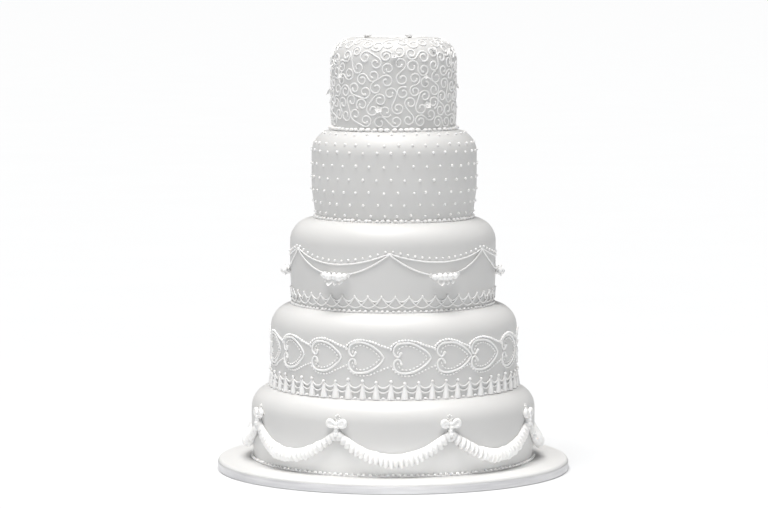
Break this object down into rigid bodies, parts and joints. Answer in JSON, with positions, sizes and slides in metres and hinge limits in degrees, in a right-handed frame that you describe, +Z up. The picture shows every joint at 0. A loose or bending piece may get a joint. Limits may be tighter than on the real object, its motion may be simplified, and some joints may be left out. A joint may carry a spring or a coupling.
{
  "type": "tiered wedding cake",
  "caption": "Round stacked wedding cake in white icing with piped garlands, hearts, sprays, pearls and scrolls, on a ribboned board.",
  "frame": {"origin": "middle of the board's flat underside", "axes": "+Z up through the tiers, the front towards -Y"},
  "size_m": [0.459, 0.459, 0.5657],
  "materials": {
    "fondant": "smooth rolled sugarpaste, soft satin sheen",
    "royal_icing": "matt piped royal icing",
    "ribbon_satin": "silver-white satin"
  },
  "bodies": {
    "root": {"cake_board": "fondant", "board_ribbon": "ribbon_satin", "tier_1_garlands": "fondant", "tier_2_hearts": "fondant", "tier_3_sprays": "fondant", "tier_4_pearls": "fondant", "tier_5_scrolls": "fondant", "garland_1": "royal_icing", "garland_2": "royal_icing", "garland_3": "royal_icing", "garland_4": "royal_icing", "garland_5": "royal_icing", "garland_6": "royal_icing", "garland_7": "royal_icing", "garland_8": "royal_icing", "bow_1": "royal_icing", "bow_2": "royal_icing", "bow_3": "royal_icing", "bow_4": "royal_icing", "bow_5": "royal_icing", "bow_6": "royal_icing", "bow_7": "royal_icing", "bow_8": "royal_icing", "spray_1": "royal_icing", "spray_2": "royal_icing", "spray_3": "royal_icing", "spray_4": "royal_icing", "spray_5": "royal_icing", "spray_6": "royal_icing"}
  },
  "joints": []
}
